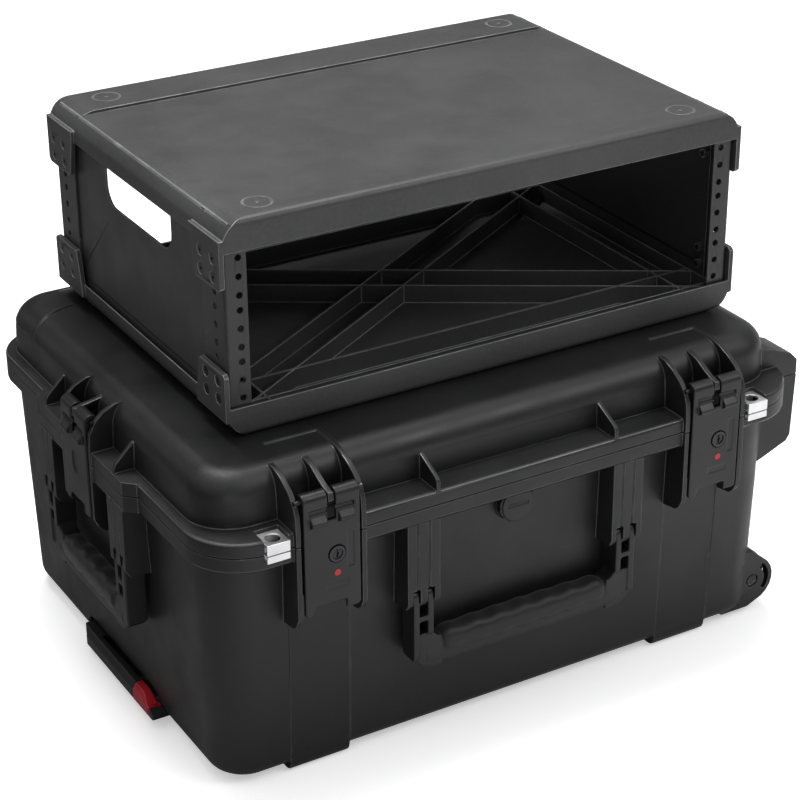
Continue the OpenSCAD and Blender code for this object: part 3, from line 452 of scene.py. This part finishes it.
def handle(name, half, scallops, turn):
    """The arms flow into a lower bar, and a soft scalloped roll lies over it."""
    joint = next(j for j in frame["joints"] if j["name"] == name + "_swing")
    hinge = Vector(joint["pos_m"])
    roll_half = half - ROLL_INSET

    added = bmesh.new()
    tube(added, roll_rings(roll_half, scallops))
    tube(added, bar_rings(half))
    for vert in added.verts:
        vert.co = hinge + turn @ vert.co
    mesh = bpy.data.meshes.new("tmp")
    added.normal_update()
    added.to_mesh(mesh)
    added.free()

    ob = copy_of(name + "_frame", name)
    bm = bmesh.new()
    bm.from_mesh(ob.data)
    bmesh.ops.remove_doubles(bm, verts=bm.verts, dist=WELD_DISTANCE)
    bm.from_mesh(mesh)
    bmesh.ops.recalc_face_normals(bm, faces=bm.faces)
    bm.to_mesh(ob.data)
    bm.free()
    soften(ob, voxel=0.0007, passes=5)
    place(ob, name + "_frame", name + "_grip")

    # the overmould is the roll between the arms
    ob.data.materials.append(MATERIAL["grip_rubber"])
    turn_back = turn.transposed()
    index = []
    for polygon in ob.data.polygons:
        center = turn_back @ (polygon.center - hinge)
        on_roll = abs(center.x) < roll_half + 0.001 and center.z > ROLL_BOTTOM
        index.append(int(on_roll))
    ob.data.polygons.foreach_set("material_index", np.array(index, np.int32))


handle("front_handle", half=0.101, scallops=7, turn=Matrix.Identity(3))
# a quarter turn about Z, so that the grip runs along Y
handle("side_handle", half=0.074, scallops=5, turn=Matrix(((0, 1, 0), (-1, 0, 0), (0, 0, 1))))


# ------------------------------------------------------------------ foam
WAVE_DEPTH = 0.012  # how far from the open face the waves fade out
WAVE_MARGIN = 0.02  # and how far in from its border they reach full height


def egg_crate(x, y, pitch):
    """Rounded lumps with creases between."""
    return np.sqrt(np.abs(np.sin(math.pi * x / pitch) * np.sin(math.pi * (y - 0.010) / pitch)))


def soft_waves(x, y, pitch):
    return 0.5 + 0.5 * np.cos(2 * math.pi * x / pitch) * np.cos(2 * math.pi * y / pitch)


def foam_block(node, face_z, x_range, y_range, up, wave, pitch, height):
    """Foam with soft cut edges, waved on its open face, which looks up (1) or down (-1)."""
    ob = copy_of(node)
    weld(ob)
    soften(ob, voxel=0.003, passes=3)
    mesh = ob.data
    points = np.zeros(len(mesh.vertices) * 3)
    mesh.vertices.foreach_get("co", points)
    points = points.reshape(-1, 3)
    x, y, z = points.T
    near = np.clip(1 - np.abs(z - face_z) / WAVE_DEPTH, 0, 1)
    inside = 1.0
    for along, (low, high) in ((x, x_range), (y, y_range)):
        inside = inside * np.clip((along - low) / WAVE_MARGIN, 0, 1)
        inside = inside * np.clip((high - along) / WAVE_MARGIN, 0, 1)
    points[:, 2] -= up * near * inside * height * (1 - wave(x, y, pitch))
    mesh.vertices.foreach_set("co", points.ravel())
    mesh.update()
    place(ob, node)


lid_foam_low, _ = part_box("lid_foam")
foam_block("lid_foam", face_z=lid_foam_low[2], x_range=(-0.26, 0.26), y_range=(-0.18, 0.19),
           up=-1, wave=egg_crate, pitch=0.040, height=0.010)
foam_block("base_foam", face_z=0.046, x_range=(-0.25, 0.25), y_range=(-0.162, 0.18),
           up=1, wave=soft_waves, pitch=0.036, height=0.008)


# ------------------------------------------------------------------ bevelled mouldings
def bevelled(node, width, segments):
    """A copy with every sharp edge rolled, in its own paler material: slight wear and a painted highlight."""
    ob = copy_of(node)
    # the bevel needs both material slots, to mark its faces with the second
    dress(ob, *FACE_AND_EDGE[SLOT[node]])
    ob.data.polygons.foreach_set("material_index", np.zeros(len(ob.data.polygons), np.int32))
    weld(ob)
    bevel = ob.modifiers.new("bevel", "BEVEL")
    bevel.width = width
    bevel.segments = segments
    bevel.limit_method = "ANGLE"
    bevel.angle_limit = math.radians(38.0)
    bevel.use_clamp_overlap = False
    bevel.miter_outer = "MITER_ARC"
    bevel.material = 1
    ob.modifiers.new("triangulate", "TRIANGULATE")
    bake(ob)
    # dressing the piece again clears the face indices, so they are kept and put back
    index = np.zeros(len(ob.data.polygons), np.int32)
    ob.data.polygons.foreach_get("material_index", index)
    all_smooth(ob.data)
    place(ob, node, edged=True)
    ob.data.polygons.foreach_set("material_index", index)
    flat_face_normals(ob, split_angle=44)


# node: bevel width, segments
BEVELLED = {
    "pull_button": (0.0016, 4),
    "base_padlock_plates": (0.0006, 3), "lid_padlock_plates": (0.0006, 3),
    "base_shell": (0.0008, 2), "lid_shell": (0.0008, 2),
    "cage_top_tray": (0.0006, 2), "cage_bottom_tray": (0.0006, 2),
    "cage_side_left": (0.0004, 2), "cage_side_right": (0.0004, 2),
    "pull_handle_guides": (0.0004, 2),
    "rail_front_left": (0.0003, 2), "rail_front_right": (0.0003, 2),
    "rail_rear_left": (0.0003, 2), "rail_rear_right": (0.0003, 2),
    "pull_handle_cover": (0.0005, 2), "cage_screws": (0.00025, 2),
    "lid_gasket": (0.0006, 2), "valve_body": (0.0005, 2),
}
for node, (width, segments) in BEVELLED.items():
    bevelled(node, width, segments)

# ------------------------------------------------------------------ tray skins
CAGE_X = 0.020  # middle of the cage
SKIN_X = (0.2252, 0.2328)  # inner and outer edge of a skin, from the middle of the cage
SKIN_Y = (-0.0883, 0.1463)
BOX_FACES = ((3, 2, 1, 0), (4, 5, 6, 7), (0, 1, 5, 4), (1, 2, 6, 5), (2, 3, 7, 6), (3, 0, 4, 7))


def skins(node, bottom, top):
    """Thin skins that close the fine slit beside the rounded edges of a tray."""
    bm = bmesh.new()
    y0, y1 = SKIN_Y
    for side in (-1, 1):
        x0, x1 = sorted(CAGE_X + side * x for x in SKIN_X)
        outline = ((x0, y0), (x1, y0), (x1, y1), (x0, y1))
        corners = [bm.verts.new((x, y, z)) for z in (bottom, top) for x, y in outline]
        for face in BOX_FACES:
            bm.faces.new([corners[i] for i in face])
    mesh = bpy.data.meshes.new(node + "_skins")
    bm.to_mesh(mesh)
    bm.free()
    place(linked("v_" + node + "_skins", mesh), node, edged=True)


skins("cage_top_tray", bottom=0.4725, top=0.47314)
skins("cage_bottom_tray", bottom=0.29306, top=0.2937)

# ------------------------------------------------------------------ CAD pieces that stay
for node, ob in nodes.items():
    if node not in rebuilt:
        dress(ob, MATERIAL[SLOT[node]])
        all_smooth(ob.data)
        weld(ob)
        flat_face_normals(ob, split_angle=32.0)

# ------------------------------------------------------------------ floor
SWEEP_START = 2.2  # distance behind the origin where the floor curves up
SWEEP_RADIUS = 1.6
FLOOR_ACROSS = (-8.0, -3.0, 3.0, 8.0)


def pale(name, color):
    """Near white to the camera; in reflections it darkens to the back left."""
    m = Shader(name)
    base = m.mix(m.middle(m.noise(scale=2.5, detail=2.0)), tint(color, 0.99), color)
    x, y, _ = m.split(m.place)
    across = m.math("SUBTRACT", m.times(x, 0.8), m.times(y, 0.6))
    shade = m.remap(across, low=-0.45, high=0.50, to_low=0.20, to_high=0.88)
    grey = m.add("ShaderNodeCombineColor")
    for k in range(3):
        m.link(shade, grey.inputs[k])
    seen = m.camera_ray()
    return m.finish(m.mix(seen, grey.outputs[0], base), 0.9, Specular_IOR_Level=0.1,
                    Emission_Color=(1.0, 1.0, 1.0), Emission_Strength=m.times(seen, 0.42))


def build_floor():
    """A floor that sweeps up into a wall, square to the camera."""
    # distance away from the camera, height
    profile = [(-6.0, 0.0), (-2.0, 0.0), (SWEEP_START, 0.0)]
    for angle in np.linspace(0.1, math.pi / 2, 12):
        profile.append((SWEEP_START + SWEEP_RADIUS * math.sin(angle),
                        SWEEP_RADIUS - SWEEP_RADIUS * math.cos(angle)))
    profile.append((SWEEP_START + SWEEP_RADIUS, 6.0))
    turn = math.radians(CAMERA_TURN)
    away = Vector((math.sin(turn), math.cos(turn), 0))
    side = Vector((math.cos(turn), -math.sin(turn), 0))
    bm = bmesh.new()
    rows = [[bm.verts.new(away * distance + side * s + Vector((0, 0, z))) for s in FLOOR_ACROSS]
            for distance, z in profile]
    for a, b in zip(rows, rows[1:]):
        for i in range(len(FLOOR_ACROSS) - 1):
            bm.faces.new((a[i], a[i + 1], b[i + 1], b[i]))
    mesh = bpy.data.meshes.new("floor")
    bm.to_mesh(mesh)
    bm.free()
    floor = linked("floor", mesh)
    all_smooth(mesh)
    mesh.materials.append(pale("pale_floor", (0.97, 0.97, 0.97)))


build_floor()


# ------------------------------------------------------------------ world
def build_world():
    """White to the camera; otherwise a sky that brightens upwards, with a broad glow."""
    scene.world = bpy.data.worlds.new("studio")
    g = Graph(scene.world)
    output = g.add("ShaderNodeOutputWorld")
    background = g.add("ShaderNodeBackground")
    g.link(background.outputs[0], output.inputs[0])
    direction = g.add("ShaderNodeTexCoord").outputs["Generated"]
    sky = g.remap(g.split(direction)["Z"], low=0.05, high=0.9, to_low=0.0, to_high=0.90)
    # the glow is behind to the right, where level faces mirror it towards the camera
    dot = g.add("ShaderNodeVectorMath", operation="DOT_PRODUCT")
    g.link(direction, dot.inputs[0])
    dot.inputs[1].default_value = (0.447, 0.78, 0.45)
    facing = g.math("MAXIMUM", dot.outputs["Value"], 0.5)
    glow = g.math("POWER", facing, 5.0)
    mix = g.add("ShaderNodeMix")
    g.link(g.camera_ray(), mix.inputs[0])
    g.link(g.math("MULTIPLY_ADD", glow, 0.10, sky), mix.inputs[2])
    mix.inputs[3].default_value = 1.0
    g.link(mix.outputs[0], background.inputs["Strength"])
    background.inputs[0].default_value = (1.0, 1.0, 1.0, 1.0)


build_world()

# ------------------------------------------------------------------ lights
# name, location, target, side of the square, watts
LIGHTS = (
    ("key", (1.5, -2.0, 2.4), (0, 0, 0.25), 1.1, 17),
    ("front", (-1.3, -2.5, 0.35), (-0.3, 0, 0.1), 0.6, 3.5),
    ("back", (-1.5, 2.5, 1.1), (0, 0, 0.25), 1.2, 1.5),
    ("fill", (-2.2, -1.4, 1.6), (0, 0, 0.2), 1.0, 0.8),
    ("top", (0.1, 0.6, 2.6), (0, 0, 0.3), 1.5, 53),
)
for name, location, target, size, watts in LIGHTS:
    light = bpy.data.lights.new(name, "AREA")
    light.shape = "RECTANGLE"
    light.size = light.size_y = size
    light.energy = watts
    ob = linked(name, light)
    ob.location = location
    aim = Vector(target) - Vector(location)
    ob.rotation_euler = aim.to_track_quat("-Z", "Y").to_euler()


# ------------------------------------------------------------------ camera
def build_camera(location, turn, drop, roll, lens):
    """Angles in degrees: turn from +Y towards +X, drop below level, roll about the view."""
    turn, drop, roll = (math.radians(angle) for angle in (turn, drop, roll))
    view = Vector((math.sin(turn) * math.cos(drop), math.cos(turn) * math.cos(drop),
                   -math.sin(drop)))
    level = view.cross(Vector((0, 0, 1))).normalized()
    upright = level.cross(view)
    right = level * math.cos(roll) + upright * math.sin(roll)
    up = upright * math.cos(roll) - level * math.sin(roll)
    camera = bpy.data.cameras.new("camera")
    camera.sensor_width = 36.0
    camera.lens = lens
    camera.clip_start = 0.05
    camera.clip_end = 60.0
    matrix = Matrix((right, up, -view)).transposed().to_4x4()
    matrix.translation = Vector(location)
    ob = linked("camera", camera)
    ob.matrix_world = matrix
    scene.camera = ob


build_camera(location=(-0.90756, -1.58159, 1.12675), turn=CAMERA_TURN, drop=26.7927,
             roll=-0.4221, lens=101.43855)
scene.view_settings.view_transform = "Standard"
